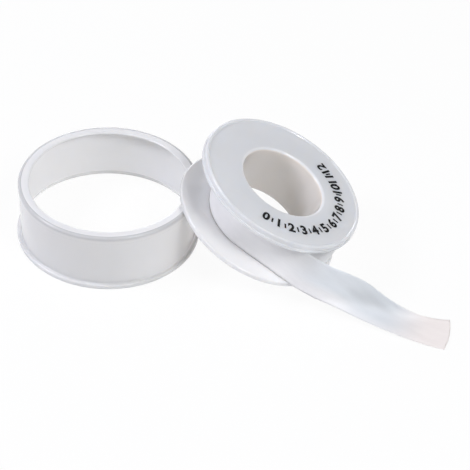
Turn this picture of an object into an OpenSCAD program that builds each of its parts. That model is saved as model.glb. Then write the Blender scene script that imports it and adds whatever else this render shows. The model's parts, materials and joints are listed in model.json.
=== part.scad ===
// A roll of thread seal tape lying open: the casing ring on the table, the reel leaning on its rim,
// and the loosened end of the tape running from the reel down onto the table.
// The origin is on the casing's axis where its straight seat starts, above the flared mouth, with +Z up.

/* [Tape] */
// Width of the tape
tape_w = 12; // [8:0.5:25]
// Build of the tight winding on the hub
wound_t = 1.75; // [0.8:0.05:4]
// Thickness of the free tape as drawn
film_t = 0.25; // [0.15:0.05:0.4]
// Gap between the tight winding and the outer turn
turn_slip = 0.225; // [0.15:0.025:0.5]
// How far the loosened turn springs away from the winding
turn_slack = 7.3; // [1:0.1:7.5]
// How far the outer turn stands off the winding where it leaves
leave_slack = 1.2; // [0:0.1:2]
// Part of the width that the tape loses where it was stretched
neck_share = 0.1; // [0:0.01:0.2]

/* [Reel] */
// Diameter of the two flanges
flange_d = 47.8; // [44:0.2:60]
// Thickness of the lower flange
foot_t = 1.5; // [1.2:0.1:2.5]
// Thickness of the upper flange at its rim
head_t = 2.6; // [2.2:0.1:4]
// Height of that rim above the step in its outside
step_h = 1.5; // [1:0.1:1.7]
// Width of that step
step_w = 0.25; // [0.1:0.05:0.5]
// Depth of the flange face below its rim
face_sink = 0.3; // [0.1:0.05:0.6]
// Width of the raised rim
rim_bead_w = 1.3; // [0.8:0.1:2.5]
// Diameter of the bore
bore_d = 24.2; // [16:0.2:25]
// Wall of the hub
hub_wall = 1.15; // [0.8:0.05:1.6]
// Gap between each edge of the tape and the flange beside it
edge_slip = 0.2; // [0.1:0.05:0.5]

/* [Casing ring] */
// Gap between a flange and the casing's wall, all round
seat_slip = 0.15; // [0.1:0.05:0.5]
// Gap between the reel and the casing, end to end
end_slip = 0.2; // [0.1:0.05:0.6]
// Thickness of the casing's wall
ring_wall = 0.7; // [0.5:0.05:1.5]
// Thickness of the rim that turns in over the reel
rim_t = 0.8; // [0.6:0.1:2]
// How far the rim covers the reel's flange
rim_cover = 1.8; // [0.8:0.1:4]
// How far the rim stands out from the wall
rim_reach = 0.3; // [0.1:0.05:0.6]
// Height of the band under the rim's outer edge
rim_band_h = 2; // [1.2:0.1:3]
// How far the lip at the open mouth stands out from the wall
lip_reach = 1.05; // [0.8:0.05:2]
// Height of that lip
lip_h = 1.35; // [0.8:0.05:2]
// Height of the flare inside the mouth
mouth_h = 2.2; // [1:0.1:3]
// Width of the foot that the lip stands on
foot_w = 0.3; // [0.2:0.05:0.5]

/* [Lie on the table] */
// How far inside the flange's edge the casing's rim touches it
rest_in = 4.8; // [2:0.2:8]
// Direction in which the reel stands off the casing
lean_turn = -4.3; // [-20:0.1:20]
// Gap where the reel rests on the casing's rim
rest_slip = 0.1; // [0.05:0.05:0.4]
// How far the tape runs on from the flange's edge
lead_run = 43.8; // [30:0.2:70]
// Direction in which it runs
lead_turn = -19.8; // [-40:0.1:0]
// Direction in which it ends
lead_head = -11; // [-25:1:5]

/* [Hidden] */
$fn = 120;

// Rounded edges
edge_r = 0.45;
bead_r = 0.3;
bore_r_round = 0.65;
step_r = 0.15;
lip_r_round = 0.45;
lip_foot_r = 0.2;
lip_top_w = 0.1;
rim_r_round = 0.6;
arc_steps = 5;

// Reel
flange_r = flange_d / 2;
bore_r = bore_d / 2;
hub_r = bore_r + hub_wall;
head_z = foot_t + tape_w + 2 * edge_slip;
reel_h = head_z + head_t;
head_r = flange_r - step_w;

// Casing ring
seat_r = flange_r + seat_slip;
wall_r = seat_r + ring_wall;
rim_r = wall_r + rim_reach;
lip_r = wall_r + lip_reach;
lip_root_r = lip_reach - lip_r_round - lip_top_w;
mouth_r = lip_r - lip_foot_r - foot_w;
rim_in_r = flange_r - rim_cover;
ring_h = reel_h + end_slip + rim_t;

// The table, seen from the start of the seat
table_z = -mouth_h;

// The reel slopes from the table up over the casing's rim
lean = asin(ring_h / (flange_d - rest_in));
// Its foot edge meets the table, and its sunk underside rests on the rim
foot_x = rim_r - rim_r_round
    + (cos(lean) * (ring_h - rim_r_round - edge_r) + rim_r_round + rest_slip + edge_r - face_sink) / sin(lean);
reel_x = foot_x - (flange_r - edge_r) * cos(lean) - edge_r * sin(lean);
reel_z = edge_r + (flange_r - edge_r) * sin(lean) - edge_r * cos(lean);
lean_dir = [cos(lean_turn), sin(lean_turn), 0];
reel_at = reel_x * lean_dir + [0, 0, table_z + reel_z];
reel_axis = sin(lean) * lean_dir + [0, 0, cos(lean)];
reel_down = cos(lean) * lean_dir - [0, 0, sin(lean)];
reel_side = [-sin(lean_turn), cos(lean_turn), 0];

// Free tape: angles round the reel, from the downhill side, where the outer turn comes off the winding,
// stands furthest out, lies on the winding again and leaves it
turn_start = -78;
turn_peak = -30;
turn_hug = 180;
turn_leave = 253;
turn_step = 5.5;
wound_r = hub_r + wound_t;
turn_r = wound_r + turn_slip + film_t / 2;
tape_z = foot_t + edge_slip;
leave_r = turn_r + leave_slack;
// How far past the flange the tape runs straight, and the stretches of its curve down to the table
exit_over = 1;
lead_out = 2;
lead_in = 14;
run_steps = 4;
lead_steps = 30;
across_steps = 5;
// Shares of the lead between which the film lies down, and how much of the width the soft fold takes
fold_start_share = 0.05;
fold_end_share = 0.8;
fold_soft_share = 0.8;
// Shares of the lead where the stretched neck starts, is narrowest and ends
neck_start_share = 0.25;
neck_mid_share = 0.7;
neck_end_share = 1.15;

function lerp(a, b, t) = a + (b - a) * t;
function unit(v) = v / norm(v);
function ease(t) = let (c = min(max(t, 0), 1)) c * c * (3 - 2 * c);
function arc(at, r, from, to) =
    [for (i = [0 : arc_steps]) at + r * [cos(lerp(from, to, i / arc_steps)), sin(lerp(from, to, i / arc_steps))]];
function in_reel(a, r, z) = reel_at + r * (cos(a) * reel_down + sin(a) * reel_side) + z * reel_axis;
function walk(p, steps, i = 0) = i == len(steps) ? [p] : concat([p], walk(p + steps[i], steps, i + 1));

// The outer turn
function turn_radius(a) = turn_r + (a > turn_hug
    ? leave_slack * ease((a - turn_hug) / (turn_leave - turn_hug))
    : turn_slack * ease(a < turn_peak
        ? (a - turn_start) / (turn_peak - turn_start)
        : (turn_hug - a) / (turn_hug - turn_peak)));
function upright(p) = [for (k = [0 : across_steps]) p + tape_w * k / across_steps * reel_axis];
turn_count = ceil((turn_leave - turn_start) / turn_step);
turn_rows = [for (i = [0 : turn_count])
    let (a = lerp(turn_start, turn_leave, i / turn_count)) upright(in_reel(a, turn_radius(a), tape_z))];

// The straight run between the flanges
leave_at = in_reel(turn_leave, leave_r, tape_z);
leave_dir = cos(turn_leave) * reel_side - sin(turn_leave) * reel_down;
run_length = sqrt(flange_r * flange_r - leave_r * leave_r) + exit_over;
run_rows = [for (i = [1 : run_steps]) upright(leave_at + run_length * i / run_steps * leave_dir)];

// The lead: its lower edge curves down to the table, and a soft fold crosses the film as it lies down
exit_at = leave_at + run_length * leave_dir;
end_at = [exit_at[0] + lead_run * cos(lead_turn), exit_at[1] + lead_run * sin(lead_turn), table_z + film_t / 2];
end_dir = [cos(lead_head), sin(lead_head), 0];
exit_pull = exit_at + lead_out * leave_dir;
end_pull = end_at - lead_in * end_dir;
function edge_at(s) = pow(1 - s, 3) * exit_at + 3 * pow(1 - s, 2) * s * exit_pull
    + 3 * (1 - s) * s * s * end_pull + pow(s, 3) * end_at;
function edge_dir(s) = pow(1 - s, 2) * (exit_pull - exit_at) + 2 * (1 - s) * s * (end_pull - exit_pull)
    + s * s * (end_at - end_pull);
function flat_dir(s) = let (d = edge_dir(s)) unit([-d[1], d[0], 0]);
function fold_at(s) = (s - fold_start_share) / (fold_end_share - fold_start_share);
function lain(s, v) = ease(0.5 + (fold_at(s) * (1 + fold_soft_share) - fold_soft_share / 2 - v) / fold_soft_share);
function neck(s) = 1 - neck_share * (s < neck_mid_share
    ? ease((s - neck_start_share) / (neck_mid_share - neck_start_share))
    : ease((neck_end_share - s) / (neck_end_share - neck_mid_share)));
function film_dir(s, v) = unit(lerp(reel_axis, flat_dir(s), lain(s, v)));
lead_rows = [for (i = [1 : lead_steps]) let (s = i / lead_steps)
    walk(edge_at(s), [for (k = [0 : across_steps - 1])
        tape_w * neck(s) / across_steps * film_dir(s, (k + 0.5) / across_steps)])];

tape_rows = concat(turn_rows, run_rows, lead_rows);
row_count = len(tape_rows);
function film_normal(i, k) =
    let (along = tape_rows[min(i + 1, row_count - 1)][k] - tape_rows[max(i - 1, 0)][k])
    let (over = tape_rows[i][min(k + 1, across_steps)] - tape_rows[i][max(k - 1, 0)])
    unit(cross(along, over));

// Least gap of the tape to itself, between stretches more than half a turn apart
half_turn_rows = ceil(180 / turn_step);
tape_gap = min([for (i = [0 : row_count - 1 - half_turn_rows]) for (j = [i + half_turn_rows : row_count - 1])
    norm(tape_rows[i][0] - tape_rows[j][0])]) - film_t;
echo(tape_gap = tape_gap);

// The reel's section: lower flange, hub, upper flange with the step in its rim
function flipped(points) = [for (i = [len(points) - 1 : -1 : 0]) [points[i][0], -points[i][1]]];
function raised(points, z) = [for (p = points) p + [0, z]];
function face(rim_r) = concat(
    arc([bore_r + bore_r_round, face_sink + bore_r_round], bore_r_round, 180, 270),
    [[rim_r - rim_bead_w - bead_r, face_sink]],
    arc([rim_r - rim_bead_w + bead_r, bead_r], bead_r, 180, 270),
    arc([rim_r - edge_r, edge_r], edge_r, 270, 360));
reel_section = concat(
    face(flange_r),
    arc([flange_r - edge_r, foot_t - edge_r], edge_r, 0, 90),
    arc([hub_r + edge_slip, foot_t + edge_slip], edge_slip, 270, 180),
    arc([hub_r + edge_slip, head_z - edge_slip], edge_slip, 180, 90),
    arc([flange_r - edge_r, head_z + edge_r], edge_r, 270, 360),
    arc([flange_r - step_r, reel_h - step_h - step_r], step_r, 0, 90),
    [[head_r, reel_h - step_h]],
    raised(flipped(face(head_r)), reel_h));

module in_reel_place() {
    translate(reel_at)
        rotate([0, 0, lean_turn])
            rotate([0, lean, 0])
                children();
}

// Casing: a plain wall, a rim turned in over the reel, and a lip turned out round the flared mouth
module casing_ring() {
    color([0.93, 0.94, 0.96])
        translate([0, 0, table_z])
            rotate_extrude()
                polygon(concat(
                    [[seat_r, mouth_h], [mouth_r, 0]],
                    arc([lip_r - lip_foot_r, lip_foot_r], lip_foot_r, 270, 360),
                    arc([lip_r - lip_r_round, lip_h - lip_r_round], lip_r_round, 0, 90),
                    arc([wall_r + lip_root_r, lip_h + lip_root_r], lip_root_r, 270, 180),
                    arc([rim_r - rim_reach / 2, ring_h - rim_band_h], rim_reach / 2, 270, 360),
                    arc([rim_r - rim_r_round, ring_h - rim_r_round], rim_r_round, 0, 90),
                    arc([rim_in_r + rim_t / 2, ring_h - rim_t / 2], rim_t / 2, 90, 270),
                    [[seat_r, ring_h - rim_t]]));
}

// Reel: a tube with a flange moulded on each end; the upper one is thicker, with a step round its rim
module reel() {
    color([0.9, 0.91, 0.93])
        in_reel_place()
            rotate_extrude()
                polygon(reel_section);
}

// The tight turns of tape under the loosened one
module tape_winding() {
    color([0.97, 0.97, 0.98])
        in_reel_place()
            rotate_extrude()
                translate([hub_r, tape_z])
                    square([wound_t, tape_w]);
}

// The loosened outer turn and the free end of the tape, in one strip
module tape_lead() {
    columns = across_steps + 1;
    layer = row_count * columns;
    points = [for (side = [-1, 1]) for (i = [0 : row_count - 1]) for (k = [0 : across_steps])
        tape_rows[i][k] + side * film_t / 2 * film_normal(i, k)];
    function at(i, k) = i * columns + k;
    faces = concat(
        [for (i = [0 : row_count - 2]) for (k = [0 : across_steps - 1])
            each [[at(i, k), at(i + 1, k), at(i + 1, k + 1)], [at(i, k), at(i + 1, k + 1), at(i, k + 1)]]],
        [for (i = [0 : row_count - 2]) for (k = [0 : across_steps - 1])
            each [[layer + at(i, k), layer + at(i + 1, k + 1), layer + at(i + 1, k)],
                [layer + at(i, k), layer + at(i, k + 1), layer + at(i + 1, k + 1)]]],
        [for (i = [0 : row_count - 2])
            each [[at(i, 0), layer + at(i, 0), at(i + 1, 0)], [at(i + 1, 0), layer + at(i, 0), layer + at(i + 1, 0)]]],
        [for (i = [0 : row_count - 2]) let (k = across_steps)
            each [[at(i, k), at(i + 1, k), layer + at(i, k)], [at(i + 1, k), layer + at(i + 1, k), layer + at(i, k)]]],
        [for (k = [0 : across_steps - 1])
            each [[at(0, k), at(0, k + 1), layer + at(0, k)], [at(0, k + 1), layer + at(0, k + 1), layer + at(0, k)]]],
        [for (k = [0 : across_steps - 1]) let (i = row_count - 1)
            each [[at(i, k), layer + at(i, k), at(i, k + 1)], [at(i, k + 1), layer + at(i, k), layer + at(i, k + 1)]]]);
    color([0.96, 0.97, 0.99])
        polyhedron(points, faces);
}

casing_ring();
reel();
tape_winding();
tape_lead();
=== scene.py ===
"""A roll of thread seal tape, opened: casing ring, leaning reel, tight winding and loosened tape end."""
import json
import math

import bmesh
import bpy
from mathutils import Matrix, Vector, noise


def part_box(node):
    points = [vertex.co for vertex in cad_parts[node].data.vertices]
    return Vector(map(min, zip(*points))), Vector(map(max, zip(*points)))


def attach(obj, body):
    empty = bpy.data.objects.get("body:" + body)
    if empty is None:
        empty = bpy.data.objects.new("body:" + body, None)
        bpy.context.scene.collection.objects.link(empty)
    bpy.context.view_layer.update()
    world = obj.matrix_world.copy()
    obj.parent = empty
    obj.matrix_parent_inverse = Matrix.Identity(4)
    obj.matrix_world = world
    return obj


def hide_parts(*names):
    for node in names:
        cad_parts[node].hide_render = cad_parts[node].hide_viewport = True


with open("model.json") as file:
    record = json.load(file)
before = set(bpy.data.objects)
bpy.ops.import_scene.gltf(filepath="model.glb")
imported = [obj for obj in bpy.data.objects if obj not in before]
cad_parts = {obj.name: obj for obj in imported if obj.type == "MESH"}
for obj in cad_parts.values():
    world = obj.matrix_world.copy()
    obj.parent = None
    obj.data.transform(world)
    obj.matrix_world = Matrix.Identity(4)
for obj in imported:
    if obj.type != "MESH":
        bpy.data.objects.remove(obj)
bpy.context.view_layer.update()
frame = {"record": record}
MM = 0.001


# Camera
# The photograph's view: lens in pixels of its 470 pixel frame, place in millimetres, angles in radians
PICTURE_PX = 470
LENS_PX = 1500
CAMERA_AT = Vector((36.10, -325.78, 275.56)) * MM
CAMERA_DIP = 0.7044
CAMERA_ROLL = 0.0726
SENSOR_MM = 36


def make_camera():
    data = bpy.data.cameras.new("view")
    data.sensor_width = SENSOR_MM
    data.lens = SENSOR_MM * LENS_PX / PICTURE_PX
    camera = bpy.data.objects.new("view", data)
    level = Matrix.Rotation(math.pi / 2 - CAMERA_DIP, 4, "X")
    roll = Matrix.Rotation(CAMERA_ROLL, 4, "Z")
    camera.matrix_world = Matrix.Translation(CAMERA_AT) @ level @ roll
    bpy.context.scene.collection.objects.link(camera)
    bpy.context.scene.camera = camera


make_camera()


# Shader writing
class Wire:
    """An output socket; arithmetic on wires adds Math nodes."""

    def __init__(self, finish, socket):
        self.finish = finish
        self.socket = socket

    def math(self, operation, first, second):
        return self.finish.node("ShaderNodeMath", {"operation": operation}, {0: first, 1: second})

    def __add__(self, other):
        return self.math("ADD", self, other)

    def __radd__(self, other):
        return self.math("ADD", other, self)

    def __sub__(self, other):
        return self.math("SUBTRACT", self, other)

    def __rsub__(self, other):
        return self.math("SUBTRACT", other, self)

    def __mul__(self, other):
        return self.math("MULTIPLY", self, other)

    def __rmul__(self, other):
        return self.math("MULTIPLY", other, self)

    def larger(self, other):
        return self.math("MAXIMUM", self, other)


class Finish:
    """The nodes of a material or world being written. node() adds any node and gives one of its outputs."""

    def __init__(self, owner):
        self.owner = owner
        owner.use_nodes = True
        self.tree = owner.node_tree
        self.tree.nodes.clear()

    def node(self, kind, settings=None, sockets=None, output=0):
        made = self.tree.nodes.new(kind)
        for key, value in (settings or {}).items():
            setattr(made, key, value)
        for key, value in (sockets or {}).items():
            if isinstance(value, Wire):
                self.tree.links.new(value.socket, made.inputs[key])
            else:
                made.inputs[key].default_value = value
        return Wire(self, made.outputs[output]) if made.outputs else None

    def place(self):
        return self.node("ShaderNodeTexCoord", output="Object")

    def uv(self, name):
        return self.node("ShaderNodeUVMap", {"uv_map": name})

    def part(self, vector, axis):
        return self.node("ShaderNodeSeparateXYZ", None, {"Vector": vector}, output=axis)

    def noise(self, vector, scale, detail, roughness=0.5):
        values = {"Vector": vector, "Scale": scale, "Detail": detail, "Roughness": roughness}
        return self.node("ShaderNodeTexNoise", None, values)

    def stretched_noise(self, vector, stretch, detail, roughness=0.5):
        """Noise with its own scale along each axis of the vector."""
        mapped = self.node("ShaderNodeMapping", None, {"Vector": vector, "Scale": stretch})
        return self.noise(mapped, 1.0, detail, roughness)

    def ramp(self, value, low, high):
        """0 at low and 1 at high, level beyond them."""
        return self.node("ShaderNodeMapRange", {"interpolation_type": "SMOOTHSTEP"},
                         {"Value": value, "From Min": low, "From Max": high})

    def blend(self, share, first, second):
        values = {"Factor": share, 6: first, 7: second}
        return self.node("ShaderNodeMix", {"data_type": "RGBA"}, values, output=2)

    def bump(self, height, distance, strength, under=None):
        values = {"Height": height, "Distance": distance, "Strength": strength}
        if under is not None:
            values["Normal"] = under
        return self.node("ShaderNodeBump", None, values)

    def surface(self, **values):
        """A Principled shader, with its sockets' names in lower case, as the material's surface."""
        sockets = {}
        for key, value in values.items():
            sockets[key.replace("_", " ").title().replace("Ior", "IOR")] = value
        shader = self.node("ShaderNodeBsdfPrincipled", None, sockets)
        self.node("ShaderNodeOutputMaterial", None, {"Surface": shader})
        return self.owner


# Finishes
CASING_PALE = (0.77, 0.765, 0.755, 1)
CASING_DEEP = (0.757, 0.752, 0.742, 1)
# Painted shade: the casing's top rim band is darker than the rest of the casing
CASING_RIM_PAINTED_SHADE = (0.585, 0.59, 0.595, 1)
# Painted light: the casing's inner wall is lighter than its outside
CASING_INSIDE_PAINTED_LIGHT = (0.93, 0.92, 0.9, 1)
REEL_PALE = (0.785, 0.797, 0.81, 1)
REEL_DEEP = (0.77, 0.782, 0.795, 1)
# Painted light: the reel's lower flange is lighter than its upper flange
LOWER_FLANGE_PAINTED_LIGHT = (0.845, 0.84, 0.83, 1)
# Painted highlight: the bore's rounded mouth is paler than the face round it
BORE_MOUTH_PAINTED_HIGHLIGHT = (0.885, 0.89, 0.895, 1)
# Painted warm shade: the inside of the bore is beige
BORE_INSIDE_PAINTED_WARM_SHADE = (0.88, 0.825, 0.77, 1)
FILM_WHITE = (0.95, 0.945, 0.94, 1)
FILM_SHADE = (0.92, 0.915, 0.912, 1)
# Painted cool shade: the upper part of the lead is bluish
FILM_PAINTED_COOL_SHADE = (0.885, 0.922, 0.945, 1)
# Painted shade: the lead is greyer across its middle where it lies
FILM_PAINTED_SHADE = (0.735, 0.762, 0.78, 1)
# Painted warm light: the free end of the film is peach
FILM_PAINTED_WARM_LIGHT = (0.99, 0.925, 0.885, 1)
INK_BLACK = (0.002, 0.002, 0.0025, 1)
INK_THIN = (0.009, 0.009, 0.01, 1)

# Milky plastic: noise scales are counts per metre, depths are metres
CASING_CLOUDS = 70.0
REEL_CLOUDS = 85.0
GRAIN_SCALE = 2600.0
RUB_SCALE = (900.0, 900.0, 140.0)
GRAIN_DEPTH = 0.000002
GRAIN_SHARE = 0.7
MARK_SHARE = 0.3
PLASTIC_ROUGH = 0.09
CLOUD_ROUGH = 0.07
MARK_ROUGH = 0.03
PLASTIC_IOR = 1.49
MILKINESS = 0.8
LIGHT_DEPTH = 0.0025
LIGHT_REACH = (1.0, 0.93, 0.85)


def milky_plastic(name, cloud_scale, pale, deep, band, zones):
    """Moulded, slightly see-through white plastic: soft clouds in its depth and fine handling marks.

    band is two heights, between which the colour turns into the third value. zones lists the same with
    two radii each, from the outside in. Heights and radii are millimetres of the turned section.
    """
    finish = Finish(bpy.data.materials.new(name))
    at = finish.place()
    section = finish.uv("section")
    radius = finish.part(section, "X")
    height = finish.part(section, "Y")
    clouds = finish.noise(at, cloud_scale, detail=4.0, roughness=0.55)
    grain = finish.noise(at, GRAIN_SCALE, detail=2.0)
    rubs = finish.stretched_noise(at, RUB_SCALE, detail=3.0, roughness=0.55)
    marks = finish.ramp(rubs, low=0.4, high=0.85)
    colour = finish.blend(finish.ramp(clouds, low=0.35, high=0.68), pale, deep)
    for value, (start, end, shade) in [(height, band)] + [(radius, zone) for zone in zones]:
        colour = finish.blend(finish.ramp(value, start, end), colour, shade)
    return finish.surface(
        base_color=colour,
        roughness=PLASTIC_ROUGH + CLOUD_ROUGH * clouds + MARK_ROUGH * marks,
        normal=finish.bump(grain * GRAIN_SHARE + marks * MARK_SHARE, GRAIN_DEPTH, strength=0.25),
        ior=PLASTIC_IOR,
        subsurface_weight=MILKINESS,
        subsurface_radius=LIGHT_REACH,
        subsurface_scale=LIGHT_DEPTH)


# Film: scales are counts per millimetre along and across the tape, depths are metres
STREAK_SCALE = (0.12, 7.0, 1.0)
STREAK_DEPTH = 0.00002
STREAK_SHARE = 0.6
CREASE_SCALE = (0.2, 0.55, 1.0)
CREASE_DEPTH = 0.00025
CREASE_SHARE = 0.4
FILM_ROUGH = 0.42
STREAK_ROUGH = 0.16
FILM_IOR = 1.36

# Zones of painted light and shade on the film: millimetres along it, with zero at the free end, and
# millimetres up from its lower edge
PAINTED_COOL_ALONG = (-50.0, -36.0)
PAINTED_COOL_ACROSS = (2.0, 5.5)
PAINTED_SHADE_ALONG = (-34.0, -24.0)
PAINTED_SHADE_LOW = (0.5, 4.0)
PAINTED_SHADE_LOW_SHARE = 0.5
PAINTED_SHADE_HIGH = (7.0, 11.0)
PAINTED_SHADE_HIGH_SHARE = 0.8
PAINTED_WARM_ALONG = (-19.0, -5.0)


def tape_film(name):
    """Soft film with fine streaks, and towards its free end painted cool shade, painted shade and painted
    warm light.
    """
    finish = Finish(bpy.data.materials.new(name))
    at = finish.uv("along")
    along = finish.part(at, "X")
    across = finish.part(at, "Y")
    streaks = finish.stretched_noise(at, STREAK_SCALE, detail=4.0, roughness=0.6)
    creases = finish.stretched_noise(at, CREASE_SCALE, detail=3.0, roughness=0.55)
    shaded = finish.ramp(streaks * STREAK_SHARE + creases * CREASE_SHARE, low=0.38, high=0.66)
    # painted cool shade on the upper part of the lead
    drawn = finish.ramp(along, *PAINTED_COOL_ALONG) * finish.ramp(across, *PAINTED_COOL_ACROSS)
    # painted shade across the middle of the lead, less at its lower and upper edges
    from_hem = (1 - PAINTED_SHADE_LOW_SHARE) + PAINTED_SHADE_LOW_SHARE * finish.ramp(across, *PAINTED_SHADE_LOW)
    from_top = 1 - PAINTED_SHADE_HIGH_SHARE * finish.ramp(across, *PAINTED_SHADE_HIGH)
    painted_shade = finish.ramp(along, *PAINTED_SHADE_ALONG) * from_hem * from_top
    colour = finish.blend(shaded, FILM_WHITE, FILM_SHADE)
    colour = finish.blend(drawn, colour, FILM_PAINTED_COOL_SHADE)
    colour = finish.blend(painted_shade, colour, FILM_PAINTED_SHADE)
    # painted warm light at the free end
    colour = finish.blend(finish.ramp(along, *PAINTED_WARM_ALONG), colour, FILM_PAINTED_WARM_LIGHT)
    normal = finish.bump(streaks, STREAK_DEPTH, strength=0.4)
    normal = finish.bump(creases, CREASE_DEPTH, strength=0.5, under=normal)
    return finish.surface(base_color=colour, roughness=FILM_ROUGH + STREAK_ROUGH * streaks, normal=normal,
                          ior=FILM_IOR)


# Wound film: counts per step of the turn and per millimetre across the layers, depth in metres
LAYER_SCALE = (0.02, 13.0, 1.0)
LAYER_DEPTH = 0.00004
WOUND_ROUGH = 0.5
LAYER_ROUGH = 0.12


def wound_film(name):
    """The wound tape seen edge on: fine rings of film, each a little lighter or darker."""
    finish = Finish(bpy.data.materials.new(name))
    layers = finish.stretched_noise(finish.uv("along"), LAYER_SCALE, detail=2.0)
    colour = finish.blend(finish.ramp(layers, low=0.35, high=0.65), FILM_WHITE, FILM_SHADE)
    normal = finish.bump(layers, LAYER_DEPTH, strength=0.6)
    return finish.surface(base_color=colour, roughness=WOUND_ROUGH + LAYER_ROUGH * layers, normal=normal,
                          ior=FILM_IOR)


# Ink: the noise scale is a count per metre
INK_SCALE = 1400.0
INK_ROUGH = 0.55
WORN_ROUGH = 0.2
INK_SHINE = 0.15


def print_ink(name):
    """Black pad-printed ink, thinner in places."""
    finish = Finish(bpy.data.materials.new(name))
    patches = finish.noise(finish.place(), INK_SCALE, detail=4.0, roughness=0.6)
    worn = finish.ramp(patches, low=0.45, high=0.75)
    return finish.surface(base_color=finish.blend(worn, INK_BLACK, INK_THIN),
                          roughness=INK_ROUGH + WORN_ROUGH * worn, specular_ior_level=INK_SHINE)


# Mesh making
# Steps of a round corner and of a full turn; lengths in millimetres
ARC_STEPS = 9
ROUND_STEPS = 224
SUPPORT = 0.03
SUPPORTED_LENGTH = 6 * SUPPORT


def ease(share):
    """0 up to 0, 1 from 1 on, and smooth between them."""
    share = min(max(share, 0.0), 1.0)
    return share * share * (3 - 2 * share)


def ripple(x, y, z):
    """Smooth noise about one half."""
    return 0.5 + 0.5 * noise.noise(Vector((x, y, z)))


def arc(x, z, radius, start, end):
    """Points of a round corner, angles in degrees."""
    angles = [math.radians(start + (end - start) * i / ARC_STEPS) for i in range(ARC_STEPS + 1)]
    return [(x + radius * math.cos(angle), z + radius * math.sin(angle)) for angle in angles]


def supported(outline):
    """The closed outline with a point near each end of every longer straight, so that flats shade flat."""
    points = []
    for first, second in zip(outline, outline[1:] + outline[:1]):
        points.append(first)
        length = math.dist(first, second)
        if length > SUPPORTED_LENGTH:
            for share in (SUPPORT / length, 1 - SUPPORT / length):
                points.append(tuple(a + (b - a) * share for a, b in zip(first, second)))
    return points


def add_piece(name, mesh, material, body):
    for face in mesh.polygons:
        face.use_smooth = True
    mesh.materials.append(material)
    piece = bpy.data.objects.new(name, mesh)
    bpy.context.scene.collection.objects.link(piece)
    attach(piece, body)
    return piece


def finished_mesh(name, shape):
    mesh = bpy.data.meshes.new(name)
    shape.to_mesh(mesh)
    shape.free()
    return mesh


def turned(name, outline, place):
    """A closed outline of (radius, height) in millimetres, turned about the axis of place.

    UV "along" is the step of the turn and a place on the outline, and UV "section" is radius and height.
    """
    shape = bmesh.new()
    rings = []
    for step in range(ROUND_STEPS):
        angle = 2 * math.pi * step / ROUND_STEPS
        ring = [place @ Vector((r * math.cos(angle), r * math.sin(angle), z)) for r, z in outline]
        rings.append([shape.verts.new(point * MM) for point in ring])
    along = shape.loops.layers.uv.new("along")
    section = shape.loops.layers.uv.new("section")
    count = len(outline)
    for step in range(ROUND_STEPS):
        here, there = rings[step], rings[(step + 1) % ROUND_STEPS]
        for i in range(count):
            j = (i + 1) % count
            face = shape.faces.new((here[i], here[j], there[j], there[i]))
            for loop, (turn, point) in zip(face.loops, ((0, i), (0, j), (1, j), (1, i))):
                loop[along].uv = (step + turn, outline[point][0] + outline[point][1])
                loop[section].uv = outline[point]
    bmesh.ops.recalc_face_normals(shape, faces=shape.faces)
    return finished_mesh(name, shape)


# Casing sizes in millimetres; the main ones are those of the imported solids
ring_low, ring_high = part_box("casing_ring")
mounts = {mount["name"]: mount for mount in frame["record"]["mounts"]}
LIP_R = (ring_high[0] - ring_low[0]) / 2 / MM
TABLE_Z = ring_low[2] / MM
RING_H = ring_high[2] / MM - TABLE_Z
SEAT_R = mounts["casing_seat"]["dims"]["r_mm"]
SEAT_SLIP = 0.15
FLANGE_R = SEAT_R - SEAT_SLIP
MOUTH_H = -TABLE_Z
CASING_WALL = 0.7
WALL_R = SEAT_R + CASING_WALL
RIM_REACH = 0.3
RIM_R = WALL_R + RIM_REACH
RIM_T = 0.8
RIM_COVER = 1.8
RIM_IN_R = FLANGE_R - RIM_COVER
RIM_BAND_H = 2.0
RIM_ROUND = 0.6
LIP_H = 1.35
LIP_ROUND = 0.45
LIP_ROOT_ROUND = 0.5
LIP_FOOT_W = 0.3
LIP_FOOT_ROUND = 0.2

# Reel sizes in millimetres
BORE_R = mounts["reel_bore"]["dims"]["r_mm"]
BORE_ROUND = 0.8
HUB_WALL = 1.15
HUB_R = BORE_R + HUB_WALL
FOOT_T = 1.5
HEAD_T = 2.6
STEP_H = 1.5
STEP_W = 0.25
STEP_ROUND = 0.15
EDGE_ROUND = 0.45
FACE_SINK = 0.3
BEAD_W = 1.1
BEAD_SLOPE_W = 0.4
BEAD_STEPS = 8

# Tape sizes in millimetres, and the heights that follow from them
TAPE_W = 12.0
EDGE_SLIP = 0.2
WOUND_T = 1.75
WOUND_R = HUB_R + WOUND_T
TAPE_LOW = FOOT_T + EDGE_SLIP
HEAD_Z = TAPE_LOW + TAPE_W + EDGE_SLIP
REEL_H = HEAD_Z + HEAD_T

# The reel's own axes: down its slope, level across it and along its axle
AXLE = Vector(mounts["reel_bore"]["axis"]).normalized()
SLOPE_DIR = Vector((AXLE.x, AXLE.y, 0)).normalized()
ACROSS = Vector((0, 0, 1)).cross(SLOPE_DIR)
DOWN = ACROSS.cross(AXLE)
REEL_AT = Vector(mounts["reel_bore"]["pos_m"]) / MM - AXLE * REEL_H / 2
REEL_PLACE = Matrix.Translation(REEL_AT) @ Matrix((DOWN, ACROSS, AXLE)).transposed().to_4x4()
CASING_PLACE = Matrix.Translation((0, 0, TABLE_Z))


def outward(angle):
    """The direction from the axle at an angle in degrees, which is 0 on the downhill side."""
    turn = math.radians(angle)
    return math.cos(turn) * DOWN + math.sin(turn) * ACROSS


def onward(angle):
    """The direction round the axle at the same place, towards larger angles."""
    turn = math.radians(angle)
    return math.cos(turn) * ACROSS - math.sin(turn) * DOWN


def in_reel(angle, radius, height):
    return REEL_AT + radius * outward(angle) + height * AXLE


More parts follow.
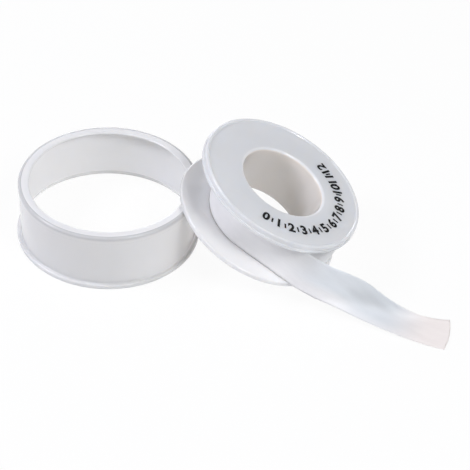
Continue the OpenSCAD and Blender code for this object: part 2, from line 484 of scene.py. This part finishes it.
def casing_outline():
    """Flared mouth, lip with a foot, straight wall, and the turned-in rim over a band."""
    return ([(SEAT_R, MOUTH_H), (LIP_R - LIP_FOOT_ROUND - LIP_FOOT_W, 0)]
            + arc(LIP_R - LIP_FOOT_ROUND, LIP_FOOT_ROUND, LIP_FOOT_ROUND, 270, 360)
            + arc(LIP_R - LIP_ROUND, LIP_H - LIP_ROUND, LIP_ROUND, 0, 90)
            + arc(WALL_R + LIP_ROOT_ROUND, LIP_H + LIP_ROOT_ROUND, LIP_ROOT_ROUND, 270, 180)
            + arc((WALL_R + RIM_R) / 2, RING_H - RIM_BAND_H, (RIM_R - WALL_R) / 2, 270, 360)
            + arc(RIM_R - RIM_ROUND, RING_H - RIM_ROUND, RIM_ROUND, 0, 90)
            + arc(RIM_IN_R + RIM_T / 2, RING_H - RIM_T / 2, RIM_T / 2, 90, 270)
            + [(SEAT_R, RING_H - RIM_T)])


def flange_face(rim):
    """A flange's outer face from the bore to its rim: sunk, with a raised bead round the edge."""
    bead_in = rim - BEAD_W
    slope = [i / BEAD_STEPS for i in range(BEAD_STEPS + 1)]
    return (arc(BORE_R + BORE_ROUND, FACE_SINK + BORE_ROUND, BORE_ROUND, 180, 270)
            + [(bead_in + BEAD_SLOPE_W * share, FACE_SINK * (1 - ease(share))) for share in slope]
            + arc(rim - EDGE_ROUND, EDGE_ROUND, EDGE_ROUND, 270, 360))


def reel_outline():
    """Lower flange, hub and the thicker upper flange with the step round its rim."""
    head_r = FLANGE_R - STEP_W
    step_z = REEL_H - STEP_H
    return (flange_face(FLANGE_R)
            + arc(FLANGE_R - EDGE_ROUND, FOOT_T - EDGE_ROUND, EDGE_ROUND, 0, 90)
            + arc(HUB_R + EDGE_SLIP, FOOT_T + EDGE_SLIP, EDGE_SLIP, 270, 180)
            + arc(HUB_R + EDGE_SLIP, HEAD_Z - EDGE_SLIP, EDGE_SLIP, 180, 90)
            + arc(FLANGE_R - EDGE_ROUND, HEAD_Z + EDGE_ROUND, EDGE_ROUND, 270, 360)
            + arc(FLANGE_R - STEP_ROUND, step_z - STEP_ROUND, STEP_ROUND, 0, 90)
            + [(head_r, step_z)]
            + [(r, REEL_H - z) for r, z in reversed(flange_face(head_r))])


# Layers of the tight winding, whose edges don't lie quite level
FILM_LAYERS = 24
LAYER_STEP = 0.09
LAYER_CHANGE = 0.83
LAYER_EDGE_SHARES = (0.04, 0.96)
LOWER_SEED = 3.1
UPPER_SEED = 9.7


def winding_outline():
    step = WOUND_T / FILM_LAYERS
    lower, upper = [], []
    for i in range(FILM_LAYERS):
        rise = LAYER_STEP * ripple(i * LAYER_CHANGE, LOWER_SEED, 0.0)
        drop = LAYER_STEP * ripple(i * LAYER_CHANGE, UPPER_SEED, 0.0)
        for share in LAYER_EDGE_SHARES:
            radius = HUB_R + (i + share) * step
            lower.append((radius, TAPE_LOW + rise))
            upper.append((radius, TAPE_LOW + TAPE_W - drop))
    return lower + upper[::-1]


# Free tape, a loose turn: angles in degrees round the reel from its downhill side, lengths in millimetres
TURN_START = -78
TURN_PEAK = -30
TURN_HUG = 180
TURN_LEAVE = 253
TURN_GAP = 0.35
TURN_R = WOUND_R + TURN_GAP
TURN_SLACK = 7.3
LEAVE_SLACK = 1.2
LEAVE_R = TURN_R + LEAVE_SLACK
EXIT_OVER = 1.0
FILM_T = 0.1
FILM_CLEAR = 0.1
TURN_ROWS = 170
RUN_ROWS = 14
LEAD_ROWS = 90
ACROSS_ROWS = 20

# Free tape, the lead from the flange to the table: lengths in millimetres, bearings, and shares of the lead
LEAD_OUT = 2.0
LEAD_IN = 14.0
LEAD_RUN = 43.8
LEAD_TURN = math.radians(-19.8)
LEAD_HEAD = math.radians(-11)
FOLD_START, FOLD_END, FOLD_SOFT = 0.15, 1.0, 0.8
NECK_START, NECK_MID, NECK_END, NECK_DEPTH = 0.42, 0.74, 1.05, 0.2
HEM_START, HEM_FROM, HEM_TO, HEM_LEAN = 0.45, 0.1, 0.5, 0.3


def turn_radius(angle):
    if angle < TURN_PEAK:
        return TURN_R + TURN_SLACK * ease((angle - TURN_START) / (TURN_PEAK - TURN_START))
    if angle < TURN_HUG:
        return TURN_R + TURN_SLACK * ease((TURN_HUG - angle) / (TURN_HUG - TURN_PEAK))
    return TURN_R + LEAVE_SLACK * ease((angle - TURN_HUG) / (TURN_LEAVE - TURN_HUG))


def upright_row(foot):
    return [foot + AXLE * TAPE_W * k / ACROSS_ROWS for k in range(ACROSS_ROWS + 1)]


def neck(s):
    """Width of the lead as a share of the tape's, at share s of its length."""
    if s < NECK_MID:
        return 1 - NECK_DEPTH * ease((s - NECK_START) / (NECK_MID - NECK_START))
    return 1 - NECK_DEPTH * ease((NECK_END - s) / (NECK_END - NECK_MID))


def lead_row(s, exit_at, leave_dir, end_at):
    """One row across the lead at share s of it, walked from its lower edge.

    The lower edge is a cubic curve. The film lies down behind a soft fold, and v is the share across it.
    """
    end_dir = Vector((math.cos(LEAD_HEAD), math.sin(LEAD_HEAD), 0))
    pulls = (exit_at, exit_at + LEAD_OUT * leave_dir, end_at - LEAD_IN * end_dir, end_at)
    weights = ((1 - s) ** 3, 3 * (1 - s) ** 2 * s, 3 * (1 - s) * s * s, s ** 3)
    slopes = ((1 - s) ** 2, 2 * (1 - s) * s, s * s)
    foot = sum((w * p for w, p in zip(weights, pulls)), Vector())
    run = sum((w * (b - a) for w, a, b in zip(slopes, pulls, pulls[1:])), Vector())
    flat = Vector((-run.y, run.x, 0)).normalized()
    fold = (s - FOLD_START) / (FOLD_END - FOLD_START)
    row = [foot]
    for k in range(ACROSS_ROWS):
        v = (k + 0.5) / ACROSS_ROWS
        folded = ease(0.5 + (fold * (1 + FOLD_SOFT) - FOLD_SOFT / 2 - v) / FOLD_SOFT)
        leaning = HEM_LEAN * ease(s / HEM_START) * (1 - ease((v - HEM_FROM) / (HEM_TO - HEM_FROM)))
        upward = AXLE.lerp(flat, max(folded, leaning)).normalized()
        row.append(row[-1] + upward * TAPE_W * neck(s) / ACROSS_ROWS)
    return row


def tape_rows():
    """Rows across the film: the loose turn, the run out over the flange and the lead."""
    rows = []
    for i in range(TURN_ROWS + 1):
        angle = TURN_START + (TURN_LEAVE - TURN_START) * i / TURN_ROWS
        rows.append(upright_row(in_reel(angle, turn_radius(angle), TAPE_LOW)))
    leave_at = in_reel(TURN_LEAVE, LEAVE_R, TAPE_LOW)
    leave_dir = onward(TURN_LEAVE)
    run_length = math.sqrt(FLANGE_R ** 2 - LEAVE_R ** 2) + EXIT_OVER
    for i in range(1, RUN_ROWS + 1):
        rows.append(upright_row(leave_at + run_length * i / RUN_ROWS * leave_dir))
    exit_at = leave_at + run_length * leave_dir
    reach = LEAD_RUN * Vector((math.cos(LEAD_TURN), math.sin(LEAD_TURN)))
    end_at = Vector((exit_at.x + reach.x, exit_at.y + reach.y, TABLE_Z + FILM_CLEAR))
    for i in range(1, LEAD_ROWS + 1):
        rows.append(lead_row(i / LEAD_ROWS, exit_at, leave_dir, end_at))
    return rows


# Small waves and slanting creases of the slack film, and the bowed end where it was torn off
WAVE_H = 0.3
WAVES_ALONG = 3.6
WAVES_ACROSS = 1.7
WAVE_SEED = 4.2
CREASE_H = 0.4
CREASES_ALONG = 8.0
CREASES_ACROSS = 4.5
CREASE_SLANT = 3.0
CREASE_SEED = 7.7
SLACK_SHARE = 0.25
TORN_BOW = 0.75
TORN_RAG = 0.14
TORN_SHARE = 0.12
RAGS_ACROSS = 9.0
RAG_SEED = 1.3


def slackened(rows):
    """The rows with small waves and creases, which lift the lead, and its end drawn out where it tore."""
    first = len(rows) - LEAD_ROWS
    moved = [list(row) for row in rows]
    for i in range(first, len(rows)):
        s = (i - first + 1) / LEAD_ROWS
        for k in range(ACROSS_ROWS + 1):
            v = k / ACROSS_ROWS
            run = (rows[min(i + 1, len(rows) - 1)][k] - rows[i - 1][k]).normalized()
            over = rows[i][min(k + 1, ACROSS_ROWS)] - rows[i][max(k - 1, 0)]
            wave = WAVE_H * ripple(s * WAVES_ALONG, v * WAVES_ACROSS, WAVE_SEED)
            slant = s * CREASES_ALONG + v * CREASE_SLANT
            crease = CREASE_H * ripple(slant, v * CREASES_ACROSS, CREASE_SEED)
            lift = ease(s / SLACK_SHARE) * (wave + crease)
            rag = TORN_RAG * noise.noise(Vector((v * RAGS_ACROSS, RAG_SEED, 0.0)))
            drawn = (TORN_BOW * (1 - (2 * v - 1) ** 2) + rag) * ease((s - 1 + TORN_SHARE) / TORN_SHARE)
            moved[i][k] = rows[i][k] + run.cross(over).normalized() * lift + run * drawn
    return moved


def film_mesh(name, rows):
    """The film as one sheet, and its length. UV "along" is millimetres from the free end and across it."""
    middle = ACROSS_ROWS // 2
    lengths = [0.0]
    for first, second in zip(rows, rows[1:]):
        lengths.append(lengths[-1] + (second[middle] - first[middle]).length)
    shape = bmesh.new()
    grid = [[shape.verts.new(point * MM) for point in row] for row in rows]
    along = shape.loops.layers.uv.new("along")
    for i in range(len(rows) - 1):
        for k in range(ACROSS_ROWS):
            corners = ((i, k), (i + 1, k), (i + 1, k + 1), (i, k + 1))
            face = shape.faces.new([grid[row][column] for row, column in corners])
            for loop, (row, column) in zip(face.loops, corners):
                loop[along].uv = (lengths[row] - lengths[-1], TAPE_W * column / ACROSS_ROWS)
    return finished_mesh(name, shape), lengths[-1]


# Printed scale on the upper flange: plain numbers with ticks between them, in millimetres and degrees
SCALE_R = 17.7
SCALE_FROM = -101
SCALE_TO = 50
SCALE_TOP = 12
DIGIT_H = 2.8
DIGIT_BOLD = 0.17
DIGIT_STEPS = 6
TICK_W = 0.5
TICK_H = 1.7
INK_T = 0.012
# Height of a figure as a share of its font's size
FIGURE_SHARE = 0.69


def number_mesh(text):
    letters = bpy.data.curves.new("number", "FONT")
    letters.body = text
    letters.size = DIGIT_H * MM / FIGURE_SHARE
    letters.align_x = "CENTER"
    letters.align_y = "CENTER"
    letters.offset = DIGIT_BOLD * MM
    letters.resolution_u = DIGIT_STEPS
    made = bpy.data.objects.new("number", letters)
    bpy.context.scene.collection.objects.link(made)
    bpy.context.view_layer.update()
    mesh = bpy.data.meshes.new_from_object(made.evaluated_get(bpy.context.evaluated_depsgraph_get()))
    bpy.data.objects.remove(made)
    return mesh


def on_scale(angle):
    """The place of a figure or tick on the upper face, with its head towards the bore."""
    out = outward(angle)
    axes = Matrix((onward(angle), -out, AXLE)).transposed().to_4x4()
    face_z = REEL_H - FACE_SINK + INK_T
    return Matrix.Translation((REEL_AT + SCALE_R * out + face_z * AXLE) * MM) @ axes


def scale_mesh(name):
    """Numbers and ticks in one mesh."""
    shape = bmesh.new()
    step = (SCALE_TO - SCALE_FROM) / SCALE_TOP
    half_w, half_h = TICK_W / 2 * MM, TICK_H / 2 * MM
    corners = ((-half_w, -half_h), (half_w, -half_h), (half_w, half_h), (-half_w, half_h))
    for number in range(SCALE_TOP + 1):
        before = len(shape.verts)
        shape.from_mesh(number_mesh(str(number)))
        shape.verts.ensure_lookup_table()
        bmesh.ops.transform(shape, matrix=on_scale(SCALE_FROM + step * number), verts=shape.verts[before:])
        if number < SCALE_TOP:
            tick = on_scale(SCALE_FROM + step * (number + 0.5))
            shape.faces.new([shape.verts.new(tick @ Vector((x, y, 0))) for x, y in corners])
    return finished_mesh(name, shape)


# Pieces
# Millimetres over which painted light and shade come in: outside an inner wall, and about the bore's round
WALL_FADE_FROM, WALL_FADE_TO = 0.2, 0.05
MOUTH_FADE_FROM, MOUTH_FADE_TO = 0.1, -0.3
MOUTH_R = BORE_R + BORE_ROUND

casing_finish = milky_plastic(
    "milky casing plastic", CASING_CLOUDS, CASING_PALE, CASING_DEEP,
    # painted shade on the casing's top rim band
    band=(RING_H - RIM_T - RIM_ROUND, RING_H - RIM_T / 2, CASING_RIM_PAINTED_SHADE),
    # painted light on the casing's inner wall
    zones=[(SEAT_R + WALL_FADE_FROM, SEAT_R + WALL_FADE_TO, CASING_INSIDE_PAINTED_LIGHT)])
reel_finish = milky_plastic(
    "milky reel plastic", REEL_CLOUDS, REEL_PALE, REEL_DEEP,
    # painted light on the lower flange
    band=(FOOT_T + EDGE_SLIP, FOOT_T, LOWER_FLANGE_PAINTED_LIGHT),
    # painted highlight on the bore's rounded mouth
    zones=[(MOUTH_R + MOUTH_FADE_FROM, MOUTH_R + MOUTH_FADE_TO, BORE_MOUTH_PAINTED_HIGHLIGHT),
           # painted warm shade inside the bore
           (BORE_R + WALL_FADE_FROM, BORE_R + WALL_FADE_TO, BORE_INSIDE_PAINTED_WARM_SHADE)])
film_finish = tape_film("white tape film")
wound_finish = wound_film("wound film edges")
ink_finish = print_ink("black print")

casing_mesh = turned("casing_ring_moulding", supported(casing_outline()), CASING_PLACE)
casing = add_piece("casing_ring_moulding", casing_mesh, casing_finish, "casing")
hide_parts("casing_ring")

reel_mesh = turned("reel_moulding", supported(reel_outline()), REEL_PLACE)
reel = add_piece("reel_moulding", reel_mesh, reel_finish, "turning_reel")
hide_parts("reel")

winding_mesh = turned("wound_tape", winding_outline(), REEL_PLACE)
winding = add_piece("wound_tape", winding_mesh, wound_finish, "turning_reel")
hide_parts("tape_winding")

sheet_mesh, tape_length = film_mesh("free_tape_film", slackened(tape_rows()))
film = add_piece("free_tape_film", sheet_mesh, film_finish, "free_tape")
thickness = film.modifiers.new("film thickness", "SOLIDIFY")
thickness.thickness = FILM_T * MM
thickness.offset = 0.0
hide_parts("tape_lead")

add_piece("printed_scale", scale_mesh("printed_scale"), ink_finish, "turning_reel")


# Floor, light and background, in metres
FLOOR_SIZE = 6.0
FLOOR_DROP = 0.00008
FLOOR_COLOUR = (0.97, 0.97, 0.97, 1)
FLOOR_GLOW = 0.94
WHITE = (1, 1, 1, 1)
AMBIENT = (0.97, 0.99, 1.02, 1)
AMBIENT_LEVEL = 0.12


def seen(finish):
    """1 for rays that show the background: from the camera, off gloss or through glass."""
    rays = [finish.node("ShaderNodeLightPath", output=name)
            for name in ("Is Camera Ray", "Is Glossy Ray", "Is Transmission Ray")]
    return rays[0].larger(rays[1]).larger(rays[2])


def make_floor():
    finish = Finish(bpy.data.materials.new("pale floor"))
    plain = finish.node("ShaderNodeBsdfDiffuse", None, {"Color": FLOOR_COLOUR})
    white = finish.node("ShaderNodeEmission", None, {"Color": WHITE, "Strength": 1.0})
    both = finish.node("ShaderNodeMixShader", None, {0: seen(finish) * FLOOR_GLOW, 1: plain, 2: white})
    finish.node("ShaderNodeOutputMaterial", None, {"Surface": both})
    mesh = bpy.data.meshes.new("floor")
    half = FLOOR_SIZE / 2
    corners = [(-half, -half, 0), (half, -half, 0), (half, half, 0), (-half, half, 0)]
    mesh.from_pydata(corners, [], [(0, 1, 2, 3)])
    mesh.materials.append(finish.owner)
    floor = bpy.data.objects.new("floor", mesh)
    floor.location.z = TABLE_Z * MM - FLOOR_DROP
    bpy.context.scene.collection.objects.link(floor)


def make_world():
    world = bpy.data.worlds.new("studio")
    bpy.context.scene.world = world
    finish = Finish(world)
    ambient = finish.node("ShaderNodeBackground", None, {"Color": AMBIENT, "Strength": AMBIENT_LEVEL})
    white = finish.node("ShaderNodeBackground", None, {"Color": WHITE, "Strength": 1.0})
    both = finish.node("ShaderNodeMixShader", None, {0: seen(finish), 1: ambient, 2: white})
    finish.node("ShaderNodeOutputWorld", None, {"Surface": both})


# Soft boxes: bearing in degrees from +X, height in degrees, distance and side in metres, watts, colour
AIM = Vector((30, -5, 8)) * MM
SOFT_BOXES = {
    "left_box": (-175, 44, 0.62, 0.2, 2.15, (0.965, 0.967, 1.07)),
    "right_box": (-48, 50, 0.62, 0.2, 1.68, (1.0, 0.997, 1.01)),
    "low_box": (-22, 15, 0.62, 0.34, 0.45, (0.92, 0.98, 1.1)),
    "back_box": (100, 12, 0.62, 0.22, 0.6, (0.98, 0.99, 1.02)),
}


def make_lights():
    for name, (bearing, rise, distance, side, watts, colour) in SOFT_BOXES.items():
        data = bpy.data.lights.new(name, "AREA")
        data.shape = "SQUARE"
        data.size = side
        data.energy = watts
        data.color = colour
        lamp = bpy.data.objects.new(name, data)
        around, up = math.radians(bearing), math.radians(rise)
        level = math.cos(up)
        toward = Vector((level * math.cos(around), level * math.sin(around), math.sin(up)))
        lamp.location = AIM + distance * toward
        lamp.rotation_euler = (AIM - lamp.location).to_track_quat("-Z", "Y").to_euler()
        bpy.context.scene.collection.objects.link(lamp)


make_floor()
make_world()
make_lights()
bpy.context.scene.view_settings.view_transform = "Standard"
